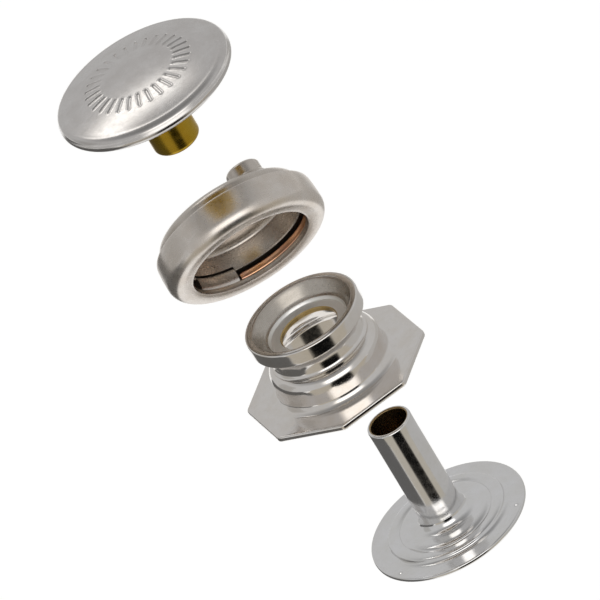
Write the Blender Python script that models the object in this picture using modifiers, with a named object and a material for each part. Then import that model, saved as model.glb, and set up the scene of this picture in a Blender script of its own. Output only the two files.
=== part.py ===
"""Snap fastener for heavy cloth, its loose pieces set out above one another in the order they go together.

From the top: a domed cap with a brass post, a socket with a sprung ring that is tipped open, a stud
drawn from one sheet with an eight-sided foot, and an eyelet whose tube goes up through the stud.
Metres, +Z up. The origin is on the axis, in the plane where the cap sits on the upper cloth.
"""

import math

import bmesh
import bpy
from mathutils import Quaternion, Vector

# Driving sizes, in metres

GAP = 0.0003
STEPS_ROUND = 40
SHARP_DEG = 35

CLOTH_ROOM = 0.0046

CAP_RADIUS = 0.0076
CAP_HEIGHT = 0.0021
CAP_EDGE_MIDDLE = 0.00047
CAP_SHOULDER_WIDTH = 0.00105
CAP_SHOULDER_RISE = 0.00062
CAP_SHOULDER_START_DEG = 56
CAP_WALL = 0.00035
CAP_CURL_WIDTH = 0.0022

POST_RADIUS = 0.0020
POST_LENGTH = 0.0055
POST_END_ROUNDING = 0.0005
POST_BORE_RADIUS = 0.00135
POST_BORE_DEPTH = 0.0032
POST_BORE_CONE = 0.0004
POST_FLANGE_THICKNESS = 0.0003
POST_FILLET = 0.0003

RIM_RADIUS = 0.00505
RIM_CLEARANCE = 0.0003
RIM_BAND_HEIGHT = 0.00135
RIM_LIP_WIDTH = 0.0005
RIM_ROUNDING = 0.00015

STUD_HEIGHT = 0.0063
STUD_WALL = 0.0005
STUD_NECK_RADIUS = 0.00405
STUD_NECK_TOP = 0.0036
STUD_NECK_LOW = 0.0033
STUD_NECK_FLARE = 0.0007
STUD_NECK_FILLET = 0.0004
STUD_NECK_END_DEG = 250
STUD_SHOULDER_RADIUS = 0.0049
STUD_SHOULDER_HEIGHT = 0.0019
STUD_SHOULDER_ROUNDING = 0.0009
STUD_SHOULDER_START_DEG = 70
STUD_FOOT_FILLET = 0.0008
STUD_HOLLOW_ROUNDING = 0.0006
STUD_CUP_DEPTH = 0.0012
STUD_LEDGE_RADIUS = 0.00345
STUD_LEDGE_DROP = 0.00035
STUD_FLOOR_THICKNESS = 0.00045
PLATE_ACROSS_FLATS = 0.0148
PLATE_SIDES = 8
PLATE_THICKNESS = 0.0005
PLATE_CORNER_ROUNDING = 0.0006
PLATE_TURN_DEG = 6

SOCKET_HEIGHT = 0.0042
SOCKET_WALL = 0.0003
SOCKET_CROWN_STEP = 0.00075
SOCKET_CROWN_ROUNDING = 0.0008
SOCKET_BACK_THICKNESS = 0.00045
SOCKET_BACK_FILLET = 0.0005
CASE_HEIGHT = 0.0030
CASE_WIDEST_HEIGHT = 0.0011
CASE_ROLL_WIDTH = 0.0019
CASE_LIP_WIDTH = 0.0008
CASE_LIP_EDGE = 0.00015
CASE_LIP_START_DEG = -120
CASE_UNDERSIDE_START_DEG = -20
RIM_DEPTH_IN_SOCKET = 0.0022

RING_WIRE_RADIUS = 0.00036
RING_SETBACK = 0.0002
RING_POINTS = 56
RING_END_GAP = 0.0005

LUG_WIDTH = 0.0040
LUG_HEIGHT = 0.00195
LUG_PROUD = 0.00005
LUG_THICKNESS = 0.0005
LUG_ANGLE_DEG = 134
STUB_RADIUS = 0.0015
STUB_HEIGHT = 0.0013
STUB_OFFSET = 0.00435
STUB_ROUNDING = 0.0003
STUB_FILLET = 0.0003
STUB_FILLET_END_DEG = 240

TUBE_RADIUS = 0.00195
TUBE_WALL = 0.00035
TUBE_END_ROUNDING = 0.00012
TUBE_HOLE_CLEARANCE = 0.00055
EYELET_HEIGHT = 0.0116
EYELET_WALL = 0.0004
TUBE_FLARE = 0.0009
FLANGE_RADIUS = 0.0070
FLANGE_EDGE_ROUNDING = 0.00015
INNER_BEAD_HEIGHT = 0.0010
INNER_BEAD_RADIUS = 0.0034
BEAD_GROOVE_RADIUS = 0.0042
BEAD_GROOVE_HEIGHT = 0.00070
OUTER_BEAD_RADIUS = 0.00525
OUTER_BEAD_RISE = 0.00015
OUTER_BEAD_START_DEG = 140
FLANGE_STEP_RADIUS = 0.0058
FLANGE_STEP_START_DEG = 200
BEAD_SETBACK = 0.0002

POST_HOLE_CLEARANCE = 0.00035
CUTTER_MARGIN = 0.002

# How far the pieces stand apart: each closes along its drop, which leans aside

STUD_DROP = 0.0185
STUD_ASIDE = 0.0012
EYELET_DROP = 0.0124
EYELET_ASIDE = 0.0016
SOCKET_TIP_DEG = 53
SOCKET_SWING_DEG = 5
PIVOT_REACH = 0.0091
PIVOT_RISE = 0.00066

# Sizes that follow from the ones above

CAP_CURL_RADIUS = CAP_RADIUS - CAP_CURL_WIDTH
POST_FLANGE_RADIUS = CAP_CURL_RADIUS + GAP
MOUTH_RADIUS = RIM_RADIUS + RIM_CLEARANCE
SOCKET_RADIUS = MOUTH_RADIUS + CASE_ROLL_WIDTH
SOCKET_CROWN_RADIUS = SOCKET_RADIUS - SOCKET_CROWN_STEP
CASE_LIP_MIDDLE = MOUTH_RADIUS + CASE_LIP_WIDTH
TUBE_HOLE_RADIUS = TUBE_RADIUS + TUBE_HOLE_CLEARANCE
POST_HOLE_RADIUS = POST_RADIUS + POST_HOLE_CLEARANCE
RING_RADIUS = MOUTH_RADIUS + RING_SETBACK + RING_WIRE_RADIUS
RING_HEIGHT = SOCKET_WALL + GAP + RING_WIRE_RADIUS
SKIRT_LOW = RING_HEIGHT + RING_WIRE_RADIUS + GAP
STUB_ANGLE_DEG = LUG_ANGLE_DEG + 180

SOCKET_CLOSED_Z = -CLOTH_ROOM - SOCKET_HEIGHT
STUD_CLOSED_Z = SOCKET_CLOSED_Z + RIM_DEPTH_IN_SOCKET - STUD_HEIGHT
STUD_Z = STUD_CLOSED_Z - STUD_DROP
PIVOT_Z = SOCKET_CLOSED_Z + PIVOT_RISE - STUD_DROP
EYELET_Z = STUD_Z - PLATE_THICKNESS - CLOTH_ROOM - INNER_BEAD_HEIGHT - EYELET_DROP


def clear_scene():
    for obj in list(bpy.data.objects):
        bpy.data.objects.remove(obj, do_unlink=True)


def make_collection(name):
    collection = bpy.data.collections.new(name)
    bpy.context.scene.collection.children.link(collection)
    return collection


def metal(name, color, roughness):
    material = bpy.data.materials.new(name)
    material.use_nodes = True
    shader = material.node_tree.nodes["Principled BSDF"]
    shader.inputs["Base Color"].default_value = (*color, 1)
    shader.inputs["Metallic"].default_value = 1
    shader.inputs["Roughness"].default_value = roughness
    material.diffuse_color = (*color, 1)
    return material


def arc(center, radii, start_deg, end_deg, points=4):
    """Points (r, z) along a round or oval arc of a profile, both ends included."""
    sweep = [math.radians(start_deg + (end_deg - start_deg) * i / points) for i in range(points + 1)]
    return [(center[0] + radii[0] * math.cos(a), center[1] + radii[1] * math.sin(a)) for a in sweep]


def fillet(center, radius, start_deg, end_deg, points=4):
    return arc(center, (radius, radius), start_deg, end_deg, points)


def dome(radius, rise, top, points):
    """Points (r, z) of a shallow dome, from its top on the axis out to its edge."""
    sphere = (radius**2 + rise**2) / (2 * rise)
    steps = [radius * i / points for i in range(points + 1)]
    return [(r, top - sphere + math.sqrt(sphere**2 - r**2)) for r in steps]


def turned(name, profile, collection, closed=True):
    """A turned shape. Its profile of (r, z) runs down the outer side and, where closed, back up the inner."""
    count = len(profile)
    edges = [(i, (i + 1) % count) for i in range(count if closed else count - 1)]
    mesh = bpy.data.meshes.new(name)
    mesh.from_pydata([(r, 0, z) for r, z in profile], edges, [])
    obj = bpy.data.objects.new(name, mesh)
    collection.objects.link(obj)
    screw = obj.modifiers.new("Turn", "SCREW")
    screw.steps = STEPS_ROUND
    screw.render_steps = STEPS_ROUND
    screw.use_merge_vertices = True
    screw.merge_threshold = 0.000001
    return obj


def helper(obj):
    """Hides a cutter, or a shape that is only joined to another, from renders."""
    obj.hide_render = True
    obj.display_type = "WIRE"
    return obj


def block(name, size, center, turn_deg, collection):
    """A box helper, turned about the piece's own axis, with its centre given before that turn."""
    mesh = bpy.data.meshes.new(name)
    shape = bmesh.new()
    bmesh.ops.create_cube(shape, size=1)
    bmesh.ops.scale(shape, vec=size, verts=shape.verts)
    bmesh.ops.translate(shape, vec=center, verts=shape.verts)
    shape.to_mesh(mesh)
    shape.free()
    obj = bpy.data.objects.new(name, mesh)
    obj.rotation_euler.z = math.radians(turn_deg)
    collection.objects.link(obj)
    return helper(obj)


def boolean(obj, operation, other):
    modifier = obj.modifiers.new(other.name, "BOOLEAN")
    modifier.operation = operation
    modifier.solver = "EXACT"
    modifier.object = other


def finish(obj, material):
    """Applies the modifiers, shades the faces smooth and keeps the real edges sharp."""
    graph = bpy.context.evaluated_depsgraph_get()
    mesh = bpy.data.meshes.new_from_object(obj.evaluated_get(graph))
    mesh.name = obj.name
    obj.modifiers.clear()
    obj.data = mesh
    mesh.shade_smooth()
    mesh.set_sharp_from_angle(angle=math.radians(SHARP_DEG))
    mesh.materials.clear()
    mesh.materials.append(material)
    return obj


def hang(obj, pivot):
    """Places a piece of the socket, given about the socket's own axis, on the empty that tips it."""
    obj.parent = pivot
    obj.location += Vector((0, -PIVOT_REACH, -PIVOT_RISE))
    return obj


def cap_shell(parts, material):
    """A domed sheet whose edge is curled in under the flange of the post."""
    middle = CAP_EDGE_MIDDLE
    width, rise = CAP_SHOULDER_WIDTH, CAP_SHOULDER_RISE
    shoulder = arc((CAP_RADIUS - width, middle), (width, rise), CAP_SHOULDER_START_DEG, 0)
    face_radius, face_low = shoulder[0]
    outside = dome(face_radius, CAP_HEIGHT - face_low, CAP_HEIGHT, 8)[:-1] + shoulder
    outside += fillet((CAP_RADIUS - middle, middle), middle, 0, -90)[1:]
    outside.append((CAP_CURL_RADIUS, 0))
    shell = turned("cap_shell", outside, parts, closed=False)
    wall = shell.modifiers.new("Wall", "SOLIDIFY")
    wall.thickness = CAP_WALL
    wall.offset = -1
    wall.use_even_offset = True
    return finish(shell, material)


def cap_post(parts, material):
    """A rivet: a thin flange held inside the cap, and a post with a drilled, rounded end."""
    flange_low = CAP_WALL + GAP
    flange_top = flange_low + POST_FLANGE_THICKNESS
    end = -POST_LENGTH
    rounding = POST_END_ROUNDING
    profile = [(0, flange_top), (POST_FLANGE_RADIUS, flange_top), (POST_FLANGE_RADIUS, flange_low)]
    profile += fillet((POST_RADIUS + POST_FILLET, flange_low - POST_FILLET), POST_FILLET, 90, 180, 3)
    profile += fillet((POST_RADIUS - rounding, end + rounding), rounding, 0, -90)
    profile.append((POST_BORE_RADIUS, end))
    profile.append((POST_BORE_RADIUS, end + POST_BORE_DEPTH))
    profile.append((0, end + POST_BORE_DEPTH + POST_BORE_CONE))
    return finish(turned("cap_post", profile, parts, closed=False), material)


def socket_case(parts, cutters, pivot, material):
    """The rolled outer ring of the socket, with a tab stood up from its lip into the ring's gap."""
    wall = SOCKET_WALL
    top_radius = SOCKET_CROWN_RADIUS + GAP
    widest = CASE_WIDEST_HEIGHT
    upper = CASE_HEIGHT - widest
    shoulder = SOCKET_RADIUS - top_radius - wall
    bulge = SOCKET_RADIUS - CASE_LIP_MIDDLE
    lip = CASE_LIP_MIDDLE - MOUTH_RADIUS
    profile = arc((top_radius + wall, widest), (shoulder, upper), 90, 0)
    profile += arc((CASE_LIP_MIDDLE, widest), (bulge, widest), CASE_UNDERSIDE_START_DEG, -90)
    edge = (lip, CASE_LIP_EDGE)
    profile += arc((CASE_LIP_MIDDLE, CASE_LIP_EDGE), edge, CASE_LIP_START_DEG, -180, 2)
    profile.append((MOUTH_RADIUS, wall))
    inner = (bulge - wall, widest - wall)
    profile += arc((CASE_LIP_MIDDLE, widest), inner, -90, CASE_UNDERSIDE_START_DEG)
    profile += arc((top_radius, widest), (shoulder, upper), 0, 90)
    case = hang(turned("socket_case", profile, parts), pivot)

    face = MOUTH_RADIUS - LUG_PROUD
    back = face + LUG_THICKNESS
    low = wall / 2
    ring = [(face, LUG_HEIGHT), (back, LUG_HEIGHT), (back, low), (face, low)]
    lug = hang(helper(turned("lug_ring", ring, cutters)), pivot)
    size = (SOCKET_RADIUS, LUG_WIDTH, SOCKET_HEIGHT + CUTTER_MARGIN)
    sides = hang(block("lug_sides", size, (SOCKET_RADIUS, 0, 0), LUG_ANGLE_DEG, cutters), pivot)
    boolean(lug, "INTERSECT", sides)
    boolean(case, "UNION", lug)
    return finish(case, material)


def socket_back(parts, cutters, pivot, material):
    """The crown of the socket, with the hole for the post and the stub that marks the side to lift."""
    top = SOCKET_HEIGHT
    inner_top = top - SOCKET_BACK_THICKNESS
    rounding = SOCKET_CROWN_ROUNDING
    profile = [(POST_HOLE_RADIUS, top)]
    profile += fillet((SOCKET_CROWN_RADIUS - rounding, top - rounding), rounding, 90, 0)
    profile += [(SOCKET_CROWN_RADIUS, SKIRT_LOW), (MOUTH_RADIUS, SKIRT_LOW)]
    corner = (MOUTH_RADIUS - SOCKET_BACK_FILLET, inner_top - SOCKET_BACK_FILLET)
    profile += fillet(corner, SOCKET_BACK_FILLET, 0, 90, 3)
    profile.append((POST_HOLE_RADIUS, inner_top))
    back = hang(turned("socket_back", profile, parts), pivot)

    stub_top = top + STUB_HEIGHT
    stub = [(0, stub_top)]
    stub += fillet((STUB_RADIUS - STUB_ROUNDING, stub_top - STUB_ROUNDING), STUB_ROUNDING, 90, 0, 3)
    stub_foot = (STUB_RADIUS + STUB_FILLET, top + STUB_FILLET)
    stub += fillet(stub_foot, STUB_FILLET, 180, STUB_FILLET_END_DEG, 2)
    foot = (stub[-1][0], top - SOCKET_BACK_THICKNESS / 2)
    stub += [foot, (0, foot[1])]
    peg = helper(turned("stub_peg", stub, cutters, closed=False))
    turn = math.radians(STUB_ANGLE_DEG)
    peg.location = (STUB_OFFSET * math.cos(turn), STUB_OFFSET * math.sin(turn), 0)
    boolean(back, "UNION", hang(peg, pivot))

    notch_top = LUG_HEIGHT + GAP
    size = (SOCKET_RADIUS, LUG_WIDTH + 2 * GAP, 2 * (notch_top - SKIRT_LOW))
    center = (SOCKET_RADIUS, 0, SKIRT_LOW)
    boolean(back, "DIFFERENCE", hang(block("lug_notch", size, center, LUG_ANGLE_DEG, cutters), pivot))
    return finish(back, material)


def spring_ring(parts, pivot, material):
    """A split ring of round wire that springs over the rim of the stud, its ends beside the lug."""
    half_gap = math.asin((LUG_WIDTH / 2 + RING_END_GAP) / RING_RADIUS)
    start = math.radians(LUG_ANGLE_DEG) + half_gap
    sweep = 2 * (math.pi - half_gap)
    curve = bpy.data.curves.new("spring_ring", "CURVE")
    curve.dimensions = "3D"
    curve.bevel_depth = RING_WIRE_RADIUS
    curve.bevel_resolution = 2
    curve.use_fill_caps = True
    spline = curve.splines.new("POLY")
    spline.points.add(RING_POINTS - 1)
    for i, point in enumerate(spline.points):
        turn = start + sweep * i / (RING_POINTS - 1)
        point.co = (RING_RADIUS * math.cos(turn), RING_RADIUS * math.sin(turn), RING_HEIGHT, 1)
    curve.materials.append(material)
    ring = bpy.data.objects.new("spring_ring", curve)
    parts.objects.link(ring)
    return hang(ring, pivot)


def stud_outside():
    """The stud from its rim down the outer side to the foot, which reaches past the eight sides."""
    top = STUD_HEIGHT
    band_low = top - RIM_BAND_HEIGHT
    rounding = RIM_ROUNDING
    neck = STUD_NECK_RADIUS
    shoulder = STUD_SHOULDER_ROUNDING
    foot = STUD_FOOT_FILLET
    profile = [(RIM_RADIUS - RIM_LIP_WIDTH, top)]
    profile += fillet((RIM_RADIUS - rounding, top - rounding), rounding, 90, 0, 2)
    profile += fillet((RIM_RADIUS - rounding, band_low + rounding), rounding, 0, -90, 2)
    flare = (STUD_NECK_FLARE, band_low - STUD_NECK_TOP)
    profile += arc((neck + STUD_NECK_FLARE, STUD_NECK_TOP), flare, 90, 180)
    profile += fillet((neck + STUD_NECK_FILLET, STUD_NECK_LOW), STUD_NECK_FILLET, 180, STUD_NECK_END_DEG, 3)
    corner = (STUD_SHOULDER_RADIUS - shoulder, STUD_SHOULDER_HEIGHT)
    profile += fillet(corner, shoulder, STUD_SHOULDER_START_DEG, 0)
    profile += fillet((STUD_SHOULDER_RADIUS + foot, foot), foot, 180, 270)
    profile += [(PLATE_ACROSS_FLATS, 0), (PLATE_ACROSS_FLATS, -PLATE_THICKNESS)]
    return profile


def stud_inside():
    """The underside of the stud, up through its hole and out over the ledge of the cup to the rim."""
    wall = STUD_WALL
    floor_top = STUD_HEIGHT - STUD_CUP_DEPTH - STUD_LEDGE_DROP
    floor_low = floor_top - STUD_FLOOR_THICKNESS
    neck = STUD_NECK_RADIUS - wall
    hollow = STUD_SHOULDER_RADIUS - wall
    foot = STUD_FOOT_FILLET + wall - PLATE_THICKNESS
    profile = fillet((hollow + foot, foot - PLATE_THICKNESS), foot, 270, 180, 3)
    corner = (hollow - STUD_HOLLOW_ROUNDING, STUD_SHOULDER_HEIGHT)
    profile += fillet(corner, STUD_HOLLOW_ROUNDING, 0, STUD_SHOULDER_START_DEG, 3)
    profile += [(neck, STUD_NECK_LOW), (neck, floor_low), (TUBE_HOLE_RADIUS, floor_low)]
    profile += [(TUBE_HOLE_RADIUS, floor_top)]
    profile.append((STUD_LEDGE_RADIUS, floor_top + STUD_LEDGE_DROP / 2))
    profile.append((STUD_LEDGE_RADIUS + STUD_LEDGE_DROP / 2, floor_top + STUD_LEDGE_DROP))
    return profile


def stud(parts, cutters, material):
    """One drawn sheet: the foot is cut to its eight sides, and the cup opens through to the hollow."""
    body = turned("stud", stud_outside() + stud_inside(), parts)
    body.location = (STUD_ASIDE, 0, STUD_Z)
    height = 2 * (STUD_HEIGHT + CUTTER_MARGIN)
    mesh = bpy.data.meshes.new("eight_sides")
    shape = bmesh.new()
    corner = PLATE_ACROSS_FLATS / 2 / math.cos(math.pi / PLATE_SIDES)
    bmesh.ops.create_cone(
        shape, cap_ends=True, segments=PLATE_SIDES, radius1=corner, radius2=corner, depth=height
    )
    shape.to_mesh(mesh)
    shape.free()
    sides = helper(bpy.data.objects.new("eight_sides", mesh))
    cutters.objects.link(sides)
    sides.parent = body
    sides.rotation_euler.z = math.pi / PLATE_SIDES + math.radians(PLATE_TURN_DEG)
    rounding = sides.modifiers.new("Corners", "BEVEL")
    rounding.width = PLATE_CORNER_ROUNDING
    rounding.segments = 3
    boolean(body, "INTERSECT", sides)
    return finish(body, material)


def eyelet(parts, stud_piece, material):
    """One drawn sheet: a tube that flares into a flange with two pressed beads."""
    top = EYELET_HEIGHT
    wall = EYELET_WALL
    rounding = TUBE_END_ROUNDING
    edge = FLANGE_EDGE_ROUNDING
    bore = TUBE_RADIUS - TUBE_WALL
    flare_r = TUBE_RADIUS + TUBE_FLARE
    flare_z = INNER_BEAD_HEIGHT + TUBE_FLARE
    profile = [(bore, top)]
    profile += fillet((TUBE_RADIUS - rounding, top - rounding), rounding, 90, 0, 2)
    profile += fillet((flare_r, flare_z), TUBE_FLARE, 180, 270)
    groove = BEAD_GROOVE_HEIGHT
    bead = (BEAD_GROOVE_RADIUS - INNER_BEAD_RADIUS, INNER_BEAD_HEIGHT - groove)
    profile += arc((INNER_BEAD_RADIUS, groove), bead, 90, 0, 3)
    half = (OUTER_BEAD_RADIUS - BEAD_GROOVE_RADIUS) / 2
    bead = (half, OUTER_BEAD_RISE)
    profile += arc((BEAD_GROOVE_RADIUS + half, groove), bead, OUTER_BEAD_START_DEG, 0, 3)
    step = (FLANGE_STEP_RADIUS - OUTER_BEAD_RADIUS, groove - wall)
    profile += arc((FLANGE_STEP_RADIUS, groove), step, FLANGE_STEP_START_DEG, 270, 3)
    profile += fillet((FLANGE_RADIUS - edge, wall - edge), edge, 90, 0, 2)
    profile += fillet((FLANGE_RADIUS - edge, edge), edge, 0, -90, 2)
    profile.append((FLANGE_STEP_RADIUS - BEAD_SETBACK, 0))
    profile.append((OUTER_BEAD_RADIUS - BEAD_SETBACK, groove - wall))
    profile += [(BEAD_GROOVE_RADIUS, groove - wall), (INNER_BEAD_RADIUS, INNER_BEAD_HEIGHT - wall)]
    under = flare_r - bore
    profile += arc((flare_r, flare_z), (under, TUBE_FLARE + wall), 270, 180)
    piece = turned("eyelet", profile, parts)
    piece.parent = stud_piece
    piece.location = (EYELET_ASIDE, 0, EYELET_Z - STUD_Z)
    return finish(piece, material)


def main():
    clear_scene()
    parts = make_collection("snap_fastener")
    cutters = make_collection("cutters")
    satin = (0.66, 0.63, 0.60)
    bright = (0.72, 0.70, 0.67)

    cap_shell(parts, metal("cap nickel", satin, 0.30))
    cap_post(parts, metal("post brass", (0.58, 0.42, 0.10), 0.32))
    stud_piece = stud(parts, cutters, metal("stud nickel", bright, 0.14))
    eyelet(parts, stud_piece, metal("eyelet nickel", bright, 0.16))

    pivot = bpy.data.objects.new("socket_pivot", None)
    pivot.empty_display_size = PIVOT_REACH
    parts.objects.link(pivot)
    pivot.parent = stud_piece
    pivot.location = (0, PIVOT_REACH, PIVOT_Z - STUD_Z)
    swing = math.radians(SOCKET_SWING_DEG)
    hinge = Vector((math.cos(swing), 0, math.sin(swing)))
    pivot.rotation_mode = "QUATERNION"
    pivot.rotation_quaternion = Quaternion(hinge, -math.radians(SOCKET_TIP_DEG))
    socket_case(parts, cutters, pivot, metal("case nickel", satin, 0.26))
    socket_back(parts, cutters, pivot, metal("crown nickel", satin, 0.30))
    spring_ring(parts, pivot, metal("ring copper", (0.70, 0.36, 0.20), 0.30))


main()
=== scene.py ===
"""Looks of the snap fastener, in metres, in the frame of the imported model.

Every piece is drawn about its own axis, from the sizes of its solid but finer, then put in place
and set to ride on its body. The edge of the cap's face and the lip of the socket's mouth are
rounder than in the solids. Then come the staged floor, the large cards that the metal mirrors,
the world and the camera.
"""

import math

import bmesh
import bpy
import numpy as np
from mathutils import Matrix, Vector


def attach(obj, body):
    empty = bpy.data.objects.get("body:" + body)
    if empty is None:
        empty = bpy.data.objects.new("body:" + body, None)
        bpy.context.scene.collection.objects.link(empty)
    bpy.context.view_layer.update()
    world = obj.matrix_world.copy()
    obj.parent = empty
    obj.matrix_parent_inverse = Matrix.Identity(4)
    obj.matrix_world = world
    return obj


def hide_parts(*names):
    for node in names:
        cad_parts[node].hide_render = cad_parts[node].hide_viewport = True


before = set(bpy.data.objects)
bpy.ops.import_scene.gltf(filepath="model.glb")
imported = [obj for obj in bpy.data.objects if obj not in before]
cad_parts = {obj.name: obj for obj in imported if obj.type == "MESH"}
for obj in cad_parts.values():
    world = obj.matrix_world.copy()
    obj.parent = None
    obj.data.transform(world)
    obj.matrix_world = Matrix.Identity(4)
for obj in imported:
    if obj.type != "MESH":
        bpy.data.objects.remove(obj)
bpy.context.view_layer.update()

MM = 0.001
SMOOTH_DEG = 38
PART_MIDDLE = (2, 0, -24)

# Places of the pieces, as the solids have them

STUD_AT = Vector((1.2, 0, -31.4)) * MM
EYELET_AT = Vector((2.8, 0, -49.9)) * MM
PIVOT = Vector((1.2, 9.1, -26.64)) * MM
PIVOT_IN_SOCKET = Vector((0, 9.1, 0.66)) * MM
TIP = math.radians(53)
SWING = math.radians(5)
LUG_TURN = math.radians(134)
PLATE_TURN = math.radians(6)
GAP = 0.3


# Meshes, with profiles in millimetres


def arc(center, radii, start, end, points=10):
    sweep = np.radians(np.linspace(start, end, points + 1))
    return [(center[0] + radii[0] * math.cos(a), center[1] + radii[1] * math.sin(a)) for a in sweep]


def fillet(center, radius, start, end, points=8):
    return arc(center, (radius, radius), start, end, points)


def line(a, b, points):
    """The points between a and b, with neither of them."""
    count = points + 1
    return [
        (a[0] + (b[0] - a[0]) * i / count, a[1] + (b[1] - a[1]) * i / count)
        for i in range(1, count)
    ]


def mesh_object(name, points, faces):
    mesh = bpy.data.meshes.new(name)
    mesh.from_pydata([tuple(np.array(p) * MM) for p in points], [], faces)
    mesh.validate()
    mesh.shade_smooth()
    mesh.set_sharp_from_angle(angle=math.radians(SMOOTH_DEG))
    obj = bpy.data.objects.new(name, mesh)
    bpy.context.scene.collection.objects.link(obj)
    return obj


def turned(name, profile, closed=True, steps=160, angles=None, shape=None):
    """A turned mesh. shape(angle, index, (r, z)) may move a point of the profile at one angle."""
    angles = np.arange(steps) * 2 * math.pi / steps if angles is None else angles
    count, n = len(profile), len(angles)
    points, rings = [], []
    for i, (r, z) in enumerate(profile):
        if r < 1e-6:
            rings.append([len(points)])
            points.append((0, 0, z))
            continue
        rings.append(range(len(points), len(points) + n))
        for a in angles:
            rr, zz = shape(a, i, (r, z)) if shape else (r, z)
            points.append((rr * math.cos(a), rr * math.sin(a), zz))
    faces = []
    for i in range(count if closed else count - 1):
        one, two = rings[i], rings[(i + 1) % count]
        if len(one) == 1 and len(two) == 1:
            continue
        for k in range(n):
            j = (k + 1) % n
            if len(one) == 1:
                faces.append((one[0], two[k], two[j]))
            elif len(two) == 1:
                faces.append((one[k], two[0], one[j]))
            else:
                faces.append((one[k], two[k], two[j], one[j]))
    return mesh_object(name, points, faces)


def block(name, size, center, turn):
    """A box turned about the Z axis."""
    low = np.array(center) - np.array(size) / 2
    high = np.array(center) + np.array(size) / 2
    x_range, y_range, z_range = zip(low, high)
    corners = [(x, y, z) for x in x_range for y in y_range for z in z_range]
    faces = [(0, 1, 3, 2), (4, 6, 7, 5), (0, 4, 5, 1)]
    faces += [(2, 3, 7, 6), (0, 2, 6, 4), (1, 5, 7, 3)]
    c, s = math.cos(turn), math.sin(turn)
    return mesh_object(name, [(x * c - y * s, x * s + y * c, z) for x, y, z in corners], faces)


def outward(obj):
    """Turns the faces of a closed mesh outward."""
    shape = bmesh.new()
    shape.from_mesh(obj.data)
    bmesh.ops.recalc_face_normals(shape, faces=shape.faces)
    shape.to_mesh(obj.data)
    shape.free()


def joined(obj, operation, other):
    """Adds another closed mesh, cuts it away, or keeps what both share."""
    outward(obj)
    outward(other)
    modifier = obj.modifiers.new("Boolean", "BOOLEAN")
    modifier.operation = operation
    modifier.solver = "EXACT"
    modifier.object = other
    return settled(obj, other)


def settled(obj, *helpers):
    """Applies the modifiers and removes the helpers that they needed."""
    graph = bpy.context.evaluated_depsgraph_get()
    mesh = bpy.data.meshes.new_from_object(obj.evaluated_get(graph))
    obj.modifiers.clear()
    obj.data = mesh
    for helper in helpers:
        bpy.data.objects.remove(helper)
    return obj


def finished(obj, smooth_deg=SMOOTH_DEG):
    """Turns the faces outward and settles the normals."""
    outward(obj)
    obj.data.shade_smooth()
    obj.data.set_sharp_from_angle(angle=math.radians(smooth_deg))
    normals = obj.modifiers.new("Normals", "WEIGHTED_NORMAL")
    normals.keep_sharp = True
    normals.weight = 80
    return settled(obj)


# Nodes of the materials


class Nodes:
    """A short way to write a node tree."""

    def __init__(self, tree):
        self.tree = tree

    def add(self, kind, inputs=None, **settings):
        node = self.tree.nodes.new("ShaderNode" + kind)
        for key, value in settings.items():
            setattr(node, key, value)
        for key, value in (inputs or {}).items():
            self.set(node.inputs[key], value)
        return node

    def set(self, socket, value):
        if isinstance(value, bpy.types.NodeSocket):
            self.tree.links.new(value, socket)
        else:
            socket.default_value = value

    def math(self, operation, a, b=0.0, clamp=False):
        return self.add("Math", {0: a, 1: b}, operation=operation, use_clamp=clamp).outputs[0]

    def span(self, value, low, high, to_low=0.0, to_high=1.0, smooth=False):
        kind = "SMOOTHSTEP" if smooth else "LINEAR"
        inputs = {0: value, 1: low, 2: high, 3: to_low, 4: to_high}
        return self.add("MapRange", inputs, interpolation_type=kind).outputs[0]

    def noise(self, vector, scale, detail=2.0, roughness=0.5):
        inputs = {"Vector": vector, "Scale": scale, "Detail": detail, "Roughness": roughness}
        return self.add("TexNoise", inputs).outputs["Fac"]

    def mix(self, factor, a, b):
        node = self.add("Mix", data_type="RGBA")
        for index, value in ((0, factor), (6, a), (7, b)):
            self.set(node.inputs[index], value)
        return node.outputs[2]

    def vector(self, x, y, z):
        return self.add("CombineXYZ", {0: x, 1: y, 2: z}).outputs[0]


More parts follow.
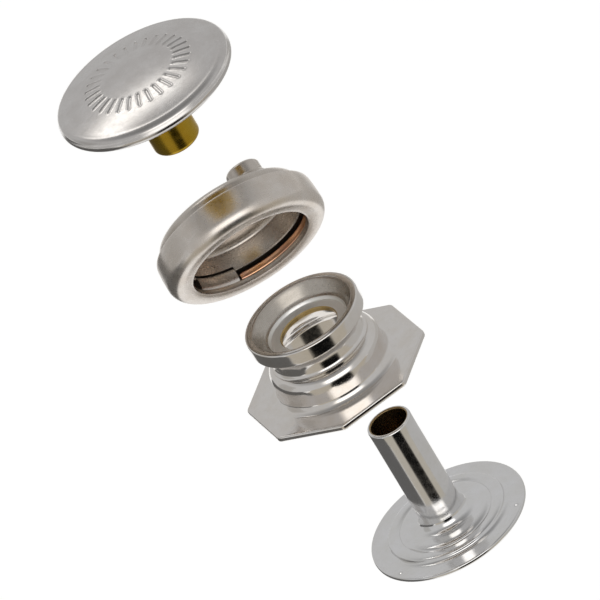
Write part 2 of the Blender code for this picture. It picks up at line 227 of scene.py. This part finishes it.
def metal(name, color, tint, rough, marks, pits, shade_and_dirt, shade_and_dirt_color, waves=0.004):
    """Metal with a cloudy tint, turning marks round the axis, scratches, pits, dirt, and painted shade that
    darkens its recesses.
    """
    material = bpy.data.materials.new(name)
    material.use_nodes = True
    n = Nodes(material.node_tree)
    shader = material.node_tree.nodes["Principled BSDF"]
    place = n.add("TexCoord").outputs["Object"]
    mm = n.add("VectorMath", {0: place, 1: (1000, 1000, 1000)}, operation="MULTIPLY").outputs[0]
    parts = n.add("SeparateXYZ", {0: mm})
    x, y, z = parts.outputs
    radius = n.math("SQRT", n.math("ADD", n.math("MULTIPLY", x, x), n.math("MULTIPLY", y, y)))
    turn = n.math("ARCTAN2", y, x)
    around = n.math("MULTIPLY", n.math("SINE", turn), 1.2)
    ring = n.vector(n.math("MULTIPLY", radius, 22.0), around, n.math("MULTIPLY", z, 22.0))
    rings = n.noise(ring, 1.0, 3.0, 0.6)
    clouds = n.noise(mm, 0.55, 3.0, 0.6)
    blotches = n.noise(mm, 2.3, 4.0, 0.62)
    grain = n.noise(mm, 26.0, 2.0, 0.6)
    stretch = {"Vector": mm, "Rotation": (0.4, 0.3, 0.7), "Scale": (26.0, 0.9, 3.0)}
    scratch = n.noise(n.add("Mapping", stretch).outputs[0], 1.0, 3.0, 0.7)
    scratches = n.span(scratch, 0.63, 0.72, smooth=True)
    cells = {"Vector": mm, "Scale": 2.1, "Randomness": 1.0}
    pit = n.add("TexVoronoi", cells, feature="F1").outputs["Distance"]
    pitted = n.span(pit, 0.03, 0.09, 1.0, 0.0, smooth=True)
    # Ambient occlusion finds the recesses and creases: there the colour is darkened as painted shade and the
    # roughness is raised as dirt
    shade = n.add("AmbientOcclusion", {"Distance": 0.0011}, samples=6).outputs["AO"]
    corner = n.span(shade, 0.25, 0.8, 1.0, 0.0, smooth=True)

    base = n.mix(n.span(clouds, 0.35, 0.68), (*color, 1), (*tint, 1))
    dull = (*[c * 0.72 for c in color], 1)
    base = n.mix(n.math("MULTIPLY", n.span(blotches, 0.5, 0.75), 0.12), base, dull)
    # Painted shade: the colour is darkened in the recesses, scaled by the dirt and shade amount
    base = n.mix(n.math("MULTIPLY", corner, shade_and_dirt), base, (*shade_and_dirt_color, 1))
    base = n.mix(n.math("MULTIPLY", pitted, 0.35 * pits), base, (*shade_and_dirt_color, 1))
    n.set(shader.inputs["Base Color"], base)
    shader.inputs["Metallic"].default_value = 1.0

    value = n.math("ADD", rough, n.span(blotches, 0.35, 0.7, -0.02, 0.045))
    turning = n.span(rings, 0.4, 0.7, -0.3, 0.7)
    value = n.math("ADD", value, n.math("MULTIPLY", turning, 0.10 * marks))
    value = n.math("ADD", value, n.math("MULTIPLY", scratches, 0.07))
    value = n.math("ADD", value, n.math("MULTIPLY", corner, 0.12 * shade_and_dirt), clamp=True)
    n.set(shader.inputs["Roughness"], value)

    height = n.math("MULTIPLY", rings, 0.0011 * marks)
    height = n.math("ADD", height, n.math("MULTIPLY", grain, 0.00045 * marks))
    height = n.math("SUBTRACT", height, n.math("MULTIPLY", scratches, 0.0006))
    height = n.math("SUBTRACT", height, n.math("MULTIPLY", pitted, 0.004 * pits))
    height = n.math("ADD", height, n.math("MULTIPLY", clouds, waves))
    bump = n.add("Bump", {"Strength": 0.6, "Distance": 0.001, "Height": height})
    n.set(shader.inputs["Normal"], bump.outputs[0])
    return material


# Each with colour, tint, roughness, marks, pits, dirt and painted shade in the recesses, their colour, and
# waves where they differ

SATIN = metal("satin_nickel", (0.60, 0.575, 0.555), (0.66, 0.64, 0.625),
              0.20, 0.35, 0.6, 0.6, (0.10, 0.08, 0.06))
CASE = metal("case_nickel", (0.66, 0.60, 0.54), (0.73, 0.685, 0.64),
             0.28, 0.5, 0.4, 0.8, (0.12, 0.09, 0.07))
CROWN = metal("crown_nickel", (0.56, 0.51, 0.455), (0.62, 0.575, 0.53),
              0.27, 0.6, 0.4, 0.8, (0.12, 0.09, 0.07))
POLISHED = metal("polished_nickel", (0.74, 0.70, 0.655), (0.78, 0.755, 0.735),
                 0.11, 0.25, 0.3, 0.45, (0.20, 0.16, 0.12), 0.0015)
BRIGHT = metal("bright_nickel", (0.76, 0.75, 0.735), (0.80, 0.795, 0.80),
               0.11, 0.25, 0.5, 0.5, (0.15, 0.13, 0.10), 0.0015)
BRASS = metal("brass", (0.43, 0.27, 0.02), (0.50, 0.33, 0.04),
              0.24, 1.2, 0.5, 0.6, (0.08, 0.045, 0.005))
# Painted shade: a darker copy of the stud's nickel for the inside of its cup
SHADED_CUP = metal("cup_painted_shade", (0.49, 0.45, 0.40), (0.58, 0.54, 0.49),
            0.26, 0.6, 0.4, 0.5, (0.20, 0.16, 0.12))
# Painted highlight: a near-white copy of the stud's nickel for the ledge round the hole
HIGHLIGHT_LEDGE = metal("ledge_painted_highlight", (0.90, 0.885, 0.85), (0.93, 0.92, 0.90),
              0.38, 0.4, 0.3, 0.2, (0.30, 0.25, 0.20))
# The bore inside the eyelet's tube is coloured a darker brown
BORE = metal("dark_brown_bore", (0.30, 0.21, 0.10), (0.36, 0.27, 0.15),
             0.26, 0.5, 0.3, 0.5, (0.06, 0.04, 0.02))
RAW_EDGE = metal("raw_brass_edge", (0.52, 0.37, 0.15), (0.60, 0.46, 0.24),
                 0.30, 1.0, 0.3, 0.3, (0.16, 0.10, 0.03))
COPPER = metal("copper", (0.98, 0.58, 0.33), (0.95, 0.54, 0.38),
               0.20, 0.6, 0.3, 0.5, (0.08, 0.02, 0.01))


def place(obj, matrix, body, slot, node, material):
    obj.matrix_world = matrix
    obj.data.materials.clear()
    obj.data.materials.append(material)
    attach(obj, body)
    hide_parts(node)
    return obj


HINGE = Vector((math.cos(SWING), 0, math.sin(SWING)))
TIPPED = Matrix.Rotation(-TIP, 4, HINGE)
SOCKET_PLACE = Matrix.Translation(PIVOT) @ TIPPED @ Matrix.Translation(-PIVOT_IN_SOCKET)
AT_STUD = Matrix.Translation(STUD_AT)
AT_EYELET = Matrix.Translation(EYELET_AT)


# Cap: a drawn sheet with its edge curled in, and a plain ring of stamped bars on its face

CAP_R, CAP_H, CAP_WALL, CURL_R, EDGE_Z = 7.6, 2.1, 0.35, 5.4, 0.47
FACE_R, FACE_LOW = 6.85, 1.27
ROLL_IN, ROLL_W, ROLL_H, EDGE_W, EDGE_H = 0.1, 0.76, 0.48, 0.3, 0.42
BARS, BAR_MIDDLE, BAR_HALF, BAR_WIDTH, BAR_DEPTH = 30, 3.95, 0.62, 0.13, 0.075
BAR_LIP, BAR_LIP_WIDTH, STAMP_FROM, STAMP_TO = 0.016, 0.06, 3.0, 4.9


def cap_face(r):
    """Height of the slightly domed face at a radius."""
    rise = CAP_H - FACE_LOW
    sphere = (FACE_R**2 + rise**2) / (2 * rise)
    return CAP_H - sphere + math.sqrt(sphere**2 - r**2)


def bar_dip(a, r):
    """Depth of the stamped bars at a place on the face, less the lip raised round each."""
    step = 2 * math.pi / BARS
    across = abs((a + step / 2) % step - step / 2) * r
    along = max(abs(r - BAR_MIDDLE) - BAR_HALF, 0)
    d = math.hypot(across, along)
    edge = min(max((d - BAR_WIDTH * 0.45) / (BAR_WIDTH * 0.75), 0), 1)
    lip = BAR_LIP * math.exp(-(((d - BAR_WIDTH * 1.35) / BAR_LIP_WIDTH) ** 2))
    return BAR_DEPTH * (1 - edge * edge * (3 - 2 * edge)) - lip


def make_cap():
    radii = [*np.linspace(0, STAMP_FROM, 13), *np.linspace(3.06, 4.84, 37)]
    radii += list(np.linspace(4.95, FACE_R, 15))
    profile = [(r, cap_face(r)) for r in radii]
    faces = len(profile)
    profile += arc((FACE_R - ROLL_IN, FACE_LOW - ROLL_H), (ROLL_W, ROLL_H), 76, 4, 14)
    profile += arc((CAP_R - EDGE_W, EDGE_Z), (EDGE_W, EDGE_H), 28, 0, 5)
    profile += fillet((CAP_R - EDGE_Z, EDGE_Z), EDGE_Z, 0, -90, 12)[1:]
    profile += line((CAP_R - EDGE_Z, 0), (CURL_R, 0), 4)
    profile += [(CURL_R, 0), (CURL_R, CAP_WALL)]
    profile += line((CURL_R, CAP_WALL), (6.9, CAP_WALL), 3) + fillet((6.85, 0.48), 0.12, -90, 50, 6)
    profile += [(r, cap_face(r) - CAP_WALL) for r in (6.5, 6.0, 5.0, 4.0, 3.0, 2.0, 1.0, 0)]

    def stamped(a, i, point):
        r, z = point
        if i < faces and STAMP_FROM < r < STAMP_TO:
            z -= bar_dip(a, r)
        return r, z

    cap = turned("cap_top", profile, closed=False, steps=600, shape=stamped)
    return place(finished(cap, 60), Matrix(), "cap", "cap_nickel", "cap_shell", SATIN)


def make_post():
    r, end, rounding, bore, depth = 2.0, -5.5, 0.5, 1.35, 3.2
    flange_r, flange_t, corner = 5.7, 0.3, 0.3
    low = CAP_WALL + GAP
    high = low + flange_t
    profile = [(0, high)] + line((0, high), (flange_r, high), 6)
    profile += [(flange_r, high), (flange_r, low)]
    profile += line((flange_r, low), (r + corner, low), 5)
    profile += fillet((r + corner, low - corner), corner, 90, 180, 6)
    profile += line((r, low - corner), (r, end + rounding), 6)
    profile += fillet((r - rounding, end + rounding), rounding, 0, -90, 9)
    profile += [(bore + 0.04, end), (bore, end + 0.04)]
    profile += line((bore, end + 0.04), (bore, end + depth), 5)
    profile += [(bore, end + depth), (0, end + depth + 0.4)]
    post = turned("post", profile, closed=False, steps=128)
    return place(finished(post), Matrix(), "cap", "post_brass", "cap_post", BRASS)


# Socket: rolled case with its lug, crown with its stub, and the split ring between them

MOUTH, SOCKET_R, CROWN_R, CASE_W = 5.35, 7.25, 6.5, 0.3
CASE_TOP, WIDEST, LIP_MID, LIP_EDGE = 3.0, 1.1, 6.15, 0.15
SKIRT_LOW, SOCKET_TOP, BACK_T, POST_HOLE = 1.62, 4.2, 0.45, 2.35
STUB_R, STUB_H, STUB_OFFSET = 1.5, 1.3, 4.35
LUG_W, LUG_TOP, LUG_GAP, LIP_TURN = 4.0, 1.95, 0.06, 0.62


def make_case():
    top_r = CROWN_R + GAP
    shoulder, upper = SOCKET_R - top_r - CASE_W, CASE_TOP - WIDEST
    bulge, lip = SOCKET_R - LIP_MID, LIP_MID - MOUTH
    profile = arc((top_r + CASE_W, WIDEST), (shoulder, upper), 90, 0, 14)
    profile += arc((LIP_MID, WIDEST), (bulge, WIDEST), -8, -90, 18)
    profile += arc((LIP_MID, LIP_EDGE), (lip, LIP_EDGE), -100, -180, 10)
    profile += [(MOUTH, CASE_W), (MOUTH, LIP_TURN - 0.06), (MOUTH + 0.05, LIP_TURN)]
    profile += [(MOUTH + 0.26, LIP_TURN), (MOUTH + 0.3, 0.5)]
    profile += arc((LIP_MID, WIDEST), (bulge - CASE_W, WIDEST - CASE_W), -90, -8, 12)
    profile += arc((top_r, WIDEST), (shoulder, upper), 0, 90, 10)
    case = turned("case", profile, steps=192)
    face, back = MOUTH - 0.05, MOUTH + 0.45
    ring = arc((face + 0.95, 1.15), (0.95, 1.05), 262, 180, 12) + [(face, LUG_TOP - 0.5)]
    ring += arc((face + 0.35, LUG_TOP - 0.5), (0.35, 0.5), 180, 100, 8)[1:]
    ring += [(back, LUG_TOP), (back, 0.62), (back + 0.3, 0.3)]
    lug = turned("lug_ring", ring, steps=192)
    sides = block("lug_sides", (SOCKET_R, LUG_W, 6), (SOCKET_R, 0, 0), LUG_TURN)
    joined(lug, "INTERSECT", sides)
    joined(case, "UNION", lug)
    return place(finished(case, 40), SOCKET_PLACE, "socket", "case_nickel", "socket_case", CASE)


def make_crown():
    inner, rounding = SOCKET_TOP - BACK_T, 0.8
    profile = [(POST_HOLE, SOCKET_TOP - 0.06), (POST_HOLE + 0.06, SOCKET_TOP)]
    profile += line((POST_HOLE + 0.06, SOCKET_TOP), (CROWN_R - rounding, SOCKET_TOP), 6)
    profile += fillet((CROWN_R - rounding, SOCKET_TOP - rounding), rounding, 90, 0, 12)
    profile += line((CROWN_R, SOCKET_TOP - rounding), (CROWN_R, SKIRT_LOW), 3)
    profile += [(CROWN_R, SKIRT_LOW), (MOUTH + 0.08, SKIRT_LOW), (MOUTH, SKIRT_LOW + 0.08)]
    profile += line((MOUTH, SKIRT_LOW), (MOUTH, inner - 0.5), 3)
    profile += fillet((MOUTH - 0.5, inner - 0.5), 0.5, 0, 90, 8)
    profile += line((MOUTH - 0.5, inner), (POST_HOLE, inner), 5)
    profile += [(POST_HOLE, inner)]
    crown = turned("crown", profile, steps=192)

    top, flat = SOCKET_TOP + STUB_H, STUB_R - 0.3
    stub = [(0, top)] + line((0, top), (flat, top), 3) + fillet((flat, top - 0.3), 0.3, 90, 0, 8)
    stub += fillet((STUB_R + 0.3, SOCKET_TOP + 0.3), 0.3, 180, 250, 6)
    stub += [(stub[-1][0], SOCKET_TOP - BACK_T / 2), (0, SOCKET_TOP - BACK_T / 2)]
    peg = turned("peg", stub, closed=False, steps=96)
    turn = LUG_TURN + math.pi
    aside = Vector((STUB_OFFSET * math.cos(turn), STUB_OFFSET * math.sin(turn), 0)) * MM
    peg.data.transform(Matrix.Translation(aside))
    joined(crown, "UNION", peg)
    notch_size = (SOCKET_R, LUG_W + 2 * LUG_GAP, 2 * (LUG_TOP + LUG_GAP - SKIRT_LOW))
    notch = block("notch", notch_size, (SOCKET_R, 0, SKIRT_LOW), LUG_TURN)
    joined(crown, "DIFFERENCE", notch)
    return place(finished(crown, 40), SOCKET_PLACE, "socket", "crown_nickel", "socket_back", CROWN)


def make_ring():
    """The split ring, of flattened wire with rounded corners."""
    wire, ring_r, ring_z = 0.36, MOUTH + 0.2 + 0.36, 1.0
    half_gap = math.asin((LUG_W / 2 + 0.5) / ring_r)
    steps, around, flatness = 150, 24, 0.55
    sweep = np.linspace(LUG_TURN + half_gap, LUG_TURN + 2 * math.pi - half_gap, steps)
    section = []
    for k in range(around):
        a = 2 * math.pi * k / around
        c, s = (math.copysign(abs(v) ** flatness, v) for v in (math.cos(a), math.sin(a)))
        section.append((wire * c, wire * s))
    points, faces = [], []
    for i, a in enumerate(sweep):
        end = min(i, steps - 1 - i)
        shrink = (0.82, 0.95)[end] if end < 2 else 1.0
        for dr, dz in section:
            r, z = ring_r + dr * shrink, ring_z + dz * shrink
            points.append((r * math.cos(a), r * math.sin(a), z))
    for i in range(steps - 1):
        one, two = i * around, (i + 1) * around
        for k in range(around):
            j = (k + 1) % around
            faces.append((one + k, two + k, two + j, one + j))
    last = (steps - 1) * around
    faces += [tuple(range(around)), tuple(reversed(range(last, last + around)))]
    ring = mesh_object("split_ring", points, faces)
    return place(finished(ring, 50), SOCKET_PLACE, "socket", "ring_copper", "spring_ring", COPPER)


# Stud: one drawn sheet, with an eight-sided foot

RIM_R, STUD_H, BAND_LOW, LIP_W = 5.05, 6.3, 4.95, 0.5
NECK_R, NECK_TOP, NECK_LOW, SHOULDER_R, SHOULDER_H = 4.05, 3.6, 3.3, 4.9, 1.9
NECK_FLARE, NECK_FILLET, SHOULDER_ROUND, FOOT_FILLET, STUD_WALL = 0.7, 0.4, 0.9, 0.8, 0.5
HOLE_R, FLOOR_TOP, FLOOR_LOW, LEDGE_R = 2.5, 4.75, 4.3, 3.45
PLATE_HALF, PLATE_T, CORNER = 7.4, 0.5, 0.6


def plate_angles():
    """Angles round the plate, closer together at its eight rounded corners."""
    corner = CORNER * math.tan(math.pi / 8)
    flat = math.atan2(PLATE_HALF * math.tan(math.pi / 8) - corner, PLATE_HALF)
    found = []
    for side in range(8):
        middle = PLATE_TURN + side * math.pi / 4
        found += list(middle + np.linspace(-flat, flat, 19))
        found += list(middle + np.linspace(flat, math.pi / 4 - flat, 9)[1:-1])
    return np.array(found)


def plate_edge(a):
    """Distance from the axis to the rounded eight-sided edge, at one angle."""
    local = (a - PLATE_TURN + math.pi / 8) % (math.pi / 4) - math.pi / 8
    tip = (PLATE_HALF - CORNER) / math.cos(math.pi / 8)
    off = abs(abs(local) - math.pi / 8)
    if tip * math.sin(off) < CORNER * math.sin(math.pi / 8 - off):
        return tip * math.cos(off) + math.sqrt(CORNER**2 - (tip * math.sin(off)) ** 2)
    return PLATE_HALF / math.cos(local)


def make_stud():
    r, rounding, hollow_round = RIM_R, 0.15, 0.6
    hollow_r, foot_r, cup_r = NECK_R - STUD_WALL, SHOULDER_R + FOOT_FILLET, r - LIP_W - 0.12
    profile = [(cup_r, STUD_H - 0.10), (r - LIP_W - 0.04, STUD_H - 0.02)]
    profile += [(r - LIP_W + 0.05, STUD_H)]
    profile += fillet((r - rounding, STUD_H - rounding), rounding, 90, 0, 6)
    profile += line((r, STUD_H - rounding), (r, BAND_LOW + rounding), 4)
    profile += fillet((r - rounding, BAND_LOW + rounding), rounding, 0, -90, 6)
    profile += arc((NECK_R + NECK_FLARE, NECK_TOP), (NECK_FLARE, BAND_LOW - NECK_TOP), 90, 180, 14)
    profile += fillet((NECK_R + NECK_FILLET, NECK_LOW), NECK_FILLET, 180, 250, 8)
    profile += fillet((SHOULDER_R - SHOULDER_ROUND, SHOULDER_H), SHOULDER_ROUND, 70, 0, 12)
    profile += line((SHOULDER_R, SHOULDER_H), (SHOULDER_R, FOOT_FILLET), 2)
    profile += fillet((foot_r, FOOT_FILLET), FOOT_FILLET, 180, 270, 14)
    plate_from = len(profile)
    edge, flat_steps = 0.14, (0.2, 0.45, 0.7, 0.9)
    profile += [(t, 0) for t in flat_steps]
    profile += fillet((1 - edge, -edge), edge, 90, 0, 5)
    profile += [(1, -PLATE_T + 0.12), (0.97, -PLATE_T + 0.04), (0.9, -PLATE_T)]
    plate_to = len(profile)
    profile += fillet((SHOULDER_R - STUD_WALL + FOOT_FILLET, 0.3), FOOT_FILLET, 270, 180, 10)
    hollow_turn = (SHOULDER_R - STUD_WALL - hollow_round, SHOULDER_H)
    profile += fillet(hollow_turn, hollow_round, 0, 70, 8)
    profile += [(hollow_r, NECK_LOW), (hollow_r, FLOOR_LOW - 0.1), (NECK_R - 0.6, FLOOR_LOW)]
    profile += [(HOLE_R + 0.05, FLOOR_LOW), (HOLE_R, 4.35)]
    profile += [(HOLE_R, FLOOR_TOP - 0.08), (HOLE_R + 0.08, FLOOR_TOP)]
    profile += [(LEDGE_R - 0.25, FLOOR_TOP), (LEDGE_R - 0.08, FLOOR_TOP + 0.05), (LEDGE_R, FLOOR_TOP + 0.18)]
    profile += [(LEDGE_R + 0.08, FLOOR_TOP + 0.30), (LEDGE_R + 0.2, FLOOR_TOP + 0.36)]
    profile += line((LEDGE_R + 0.2, FLOOR_TOP + 0.36), (cup_r, STUD_H - 0.10), 5)

    def eight_sided(a, i, point):
        if not plate_from <= i < plate_to:
            return point
        rim = plate_edge(a)
        if i < plate_from + len(flat_steps):
            return foot_r + (rim - edge - foot_r) * point[0], point[1]
        return rim - 1 + point[0], point[1]

    stud = turned("stud_body", profile, angles=plate_angles(), shape=eight_sided)
    finished(stud, 42)
    place(stud, AT_STUD, "stud", "stud_nickel", "stud", POLISHED)
    # Slots 1 to 3: the raw brass edge of the hole, the ledge with its painted highlight, and the cup with
    # its painted shade
    for material in (RAW_EDGE, HIGHLIGHT_LEDGE, SHADED_CUP):
        stud.data.materials.append(material)
    for face in stud.data.polygons:
        reach, z = math.hypot(face.center.x, face.center.y) / MM, face.center.z / MM
        if reach < HOLE_R + 0.07 and z > FLOOR_LOW - 0.1:
            face.material_index = 1
        # The ledge gets the near-white copy, painted highlight
        elif reach < LEDGE_R + 0.1 and z > FLOOR_TOP - 0.1:
            face.material_index = 2
        # The inside of the cup gets the darker copy, painted shade
        elif reach < RIM_R - LIP_W - 0.1 and z > FLOOR_TOP:
            face.material_index = 3
    return stud


# Eyelet: one drawn sheet, with a tube and a flange with two pressed beads


def make_eyelet():
    top, tube, wall, bore = 11.6, 1.95, 0.4, 1.6
    bead_h, bead_r, groove_r, groove, outer_r, step_r = 1.0, 3.4, 4.2, 0.7, 5.25, 5.8
    flare_r, flare_h, rim_r, rim_round = tube + 0.9, 0.9, 6.85, 0.15
    flare_z = bead_h + flare_h
    profile = fillet((bore + 0.14, top - 0.14), 0.14, 180, 90, 5)
    profile += fillet((tube - 0.17, top - 0.17), 0.17, 90, 0, 5)
    profile += line((tube, top - 0.17), (tube, flare_z), 8)
    profile += arc((flare_r, flare_z), (flare_r - tube, flare_h), 180, 270, 24)
    profile += arc((bead_r, groove), (groove_r - bead_r, bead_h - groove), 90, 12, 8)
    half = (outer_r - groove_r) / 2
    profile += arc((groove_r + half, groove), (half, 0.15), 150, 0, 9)
    profile += arc((step_r, groove), (step_r - outer_r, groove - wall), 195, 270, 8)
    profile += line((step_r, wall), (rim_r, wall), 5)
    profile += fillet((rim_r, wall - rim_round), rim_round, 90, 0, 4)
    profile += fillet((rim_r, rim_round), rim_round, 0, -90, 4)
    profile += line((rim_r, 0), (step_r - 0.2, 0), 3)
    profile += [(step_r - 0.2, 0), (outer_r - 0.2, groove - wall)]
    profile += [(groove_r, groove - wall), (bead_r, bead_h - wall)]
    profile += arc((flare_r, flare_z), (flare_r - bore, flare_h + wall), 270, 180, 16)
    profile += line((bore, flare_z), (bore, top - 0.14), 8)
    flat_r, pips = 6.35, [math.radians(d) for d in (205, 325, 85)]

    def pressed(a, i, point):
        r, z = point
        if z > wall - 0.001 and r > 5.9 and z < wall + 0.2:
            for pip in pips:
                off_x = r * math.cos(a) - flat_r * math.cos(pip)
                off_y = r * math.sin(a) - flat_r * math.sin(pip)
                d = math.hypot(off_x, off_y)
                rise = 0.09 * math.exp(-((d / 0.17) ** 2))
                moat = 0.035 * math.exp(-(((d - 0.42) / 0.09) ** 2))
                z += rise - moat
        return r, z

    body = turned("eyelet_body", profile, steps=256, shape=pressed)
    place(finished(body, 42), AT_EYELET, "eyelet", "eyelet_nickel", "eyelet", BRIGHT)
    # Slot 1: the bore, coloured a darker brown
    body.data.materials.append(BORE)
    for face in body.data.polygons:
        if math.hypot(face.center.x, face.center.y) < (bore + 0.12) * MM:
            face.material_index = 1
    return body


for make in (make_cap, make_post, make_case, make_crown, make_ring, make_stud, make_eyelet):
    make()


# Stage: the floor, the large cards that the metal mirrors, and the world

FLOOR_Z, FLOOR_GLOW = -0.34, 0.78


def stage_material(name, build):
    material = bpy.data.materials.new(name)
    material.use_nodes = True
    material.node_tree.nodes.clear()
    n = Nodes(material.node_tree)
    n.set(n.add("OutputMaterial").inputs[0], build(n))
    return material


def floor_shader(n):
    path = n.add("LightPath").outputs
    mirrored = n.math("MAXIMUM", path["Is Glossy Ray"], path["Is Transmission Ray"])
    seen = n.math("MAXIMUM", path["Is Camera Ray"], mirrored)
    matt = n.add("BsdfDiffuse", {"Color": (0.5, 0.5, 0.5, 1)}).outputs[0]
    strength = n.math("MULTIPLY", seen, FLOOR_GLOW)
    glow = n.add("Emission", {"Color": (1, 0.995, 0.985, 1), "Strength": strength}).outputs[0]
    return n.add("AddShader", {0: matt, 1: glow}).outputs[0]


floor_corners = [(x, y, FLOOR_Z) for x, y in ((-3, -3), (3, -3), (3, 3), (-3, 3))]
floor_mesh = bpy.data.meshes.new("floor")
floor_mesh.from_pydata(floor_corners, [], [(0, 1, 2, 3)])
floor = bpy.data.objects.new("floor", floor_mesh)
floor.data.materials.append(stage_material("floor", floor_shader))
bpy.context.scene.collection.objects.link(floor)


def facing(azimuth, elevation, distance, target):
    """Placement at a direction and distance from a target in mm, with the Z axis away from it."""
    a, e = math.radians(azimuth), math.radians(elevation)
    out = Vector((math.sin(a) * math.cos(e), -math.cos(a) * math.cos(e), math.sin(e)))
    across = Vector((math.cos(a), math.sin(a), 0))
    turned_to = Matrix((across, out.cross(across), out)).transposed().to_4x4()
    return Matrix.Translation(Vector(target) * MM + out * distance) @ turned_to


def card(name, azimuth, elevation, distance, size, strength, soft=0.15, target=PART_MIDDLE,
         light=False, tint=(1, 0.985, 0.96)):
    """A card that shows in the metal, on the side that faces its target.

    Azimuth 0 is the camera's side and 90 is +X. With light it also lights what isn't glossy.
    """
    mesh = bpy.data.meshes.new(name)
    w, h = size[0] / 2, size[1] / 2
    mesh.from_pydata([(-w, -h, 0), (w, -h, 0), (w, h, 0), (-w, h, 0)], [], [(0, 1, 2, 3)])
    obj = bpy.data.objects.new(name, mesh)
    bpy.context.scene.collection.objects.link(obj)
    obj.matrix_world = facing(azimuth, elevation, distance, target)

    def shader(n):
        parts = n.add("SeparateXYZ", {0: n.add("TexCoord").outputs["Generated"]})
        masks = []
        for across in (parts.outputs[0], parts.outputs[1]):
            off_middle = n.math("ABSOLUTE", n.math("SUBTRACT", across, 0.5))
            masks.append(n.span(n.math("SUBTRACT", 0.5, off_middle), 0.0, soft, smooth=True))
        facing_it = n.add("NewGeometry").outputs["Backfacing"]
        mask = n.math("MULTIPLY", n.math("MULTIPLY", *masks), facing_it)
        glow = n.add("Emission", {"Color": (*tint, 1), "Strength": strength}).outputs[0]
        clear = n.add("BsdfTransparent").outputs[0]
        return n.add("MixShader", {0: mask, 1: clear, 2: glow}).outputs[0]

    obj.data.materials.append(stage_material(name, shader))
    obj.visible_camera = obj.visible_shadow = obj.visible_transmission = False
    obj.visible_diffuse = light


CAP_AT, SOCKET_AT, STUD_MID = (0, 0, 0), (0.5, -2, -18), (1.2, 0, -27)
BROWN = (1, 0.93, 0.80)
card("box_back", -172, 49, 0.11, (0.09, 0.030), 2.2, 0.3, target=CAP_AT, light=True)
card("box_front", -4, 24, 0.12, (0.16, 0.10), 1.8, 0.25, target=SOCKET_AT, light=True)
card("strip_front", -1, -20, 0.13, (0.110, 0.130), 0.004, 0.15, target=STUD_MID)
card("table_front", 0, -31, 0.20, (0.80, 0.20), 0.50, 0.08, tint=BROWN)
card("table_left", -112, -31, 0.19, (0.34, 0.20), 0.13, 0.08)
card("table_right", 103, -31, 0.19, (0.36, 0.20), 0.50, 0.08)
card("card_left", -113, 14, 0.28, (0.20, 0.24), 0.45, 0.25)

world = bpy.data.worlds.new("studio")
bpy.context.scene.world = world
world.use_nodes = True
world.node_tree.nodes.clear()
n = Nodes(world.node_tree)
up = n.add("SeparateXYZ", {0: n.add("TexCoord").outputs["Generated"]}).outputs[2]
level = n.span(up, 0.62, 0.97, 0.58, 0.28, smooth=True)
path = n.add("LightPath")
shown = n.mix(path.outputs["Is Camera Ray"], n.vector(level, level, level), (1, 1, 1, 1))
backdrop = n.add("Background", {"Color": shown, "Strength": 1.0}).outputs[0]
n.set(n.add("OutputWorld").inputs[0], backdrop)


# Camera: on the -Y side, raised and rolled, with a long lens

ELEVATION, AZIMUTH, ROLL = (math.radians(v) for v in (31.44, -4.03, 31.12))
DISTANCE, PIXELS_PER_MM, MIDDLE = 0.6, 12.42, (302.6, 298.4)
IMAGE, SENSOR = 600, 36
level_part = math.cos(ELEVATION)
back = Vector((math.sin(AZIMUTH) * level_part, -math.cos(AZIMUTH) * level_part, math.sin(ELEVATION)))
right = Vector((math.cos(AZIMUTH), math.sin(AZIMUTH), 0))
up = back.cross(right)
c, s = math.cos(ROLL), math.sin(ROLL)
right, up = right * c - up * s, right * s + up * c
aim = Vector(PART_MIDDLE) * MM
aim += right * ((IMAGE / 2 - MIDDLE[0]) / PIXELS_PER_MM * MM)
aim += up * ((MIDDLE[1] - IMAGE / 2) / PIXELS_PER_MM * MM)
camera = bpy.data.cameras.new("camera")
camera.sensor_width = SENSOR
camera.lens = SENSOR * DISTANCE / (IMAGE / PIXELS_PER_MM * MM)
camera.clip_start, camera.clip_end = 0.01, 50
eye = bpy.data.objects.new("camera", camera)
bpy.context.scene.collection.objects.link(eye)
turned_to = Matrix((right, up, back)).transposed().to_4x4()
eye.matrix_world = Matrix.Translation(aim + back * DISTANCE) @ turned_to
bpy.context.scene.camera = eye
bpy.context.scene.view_settings.view_transform = "Standard"
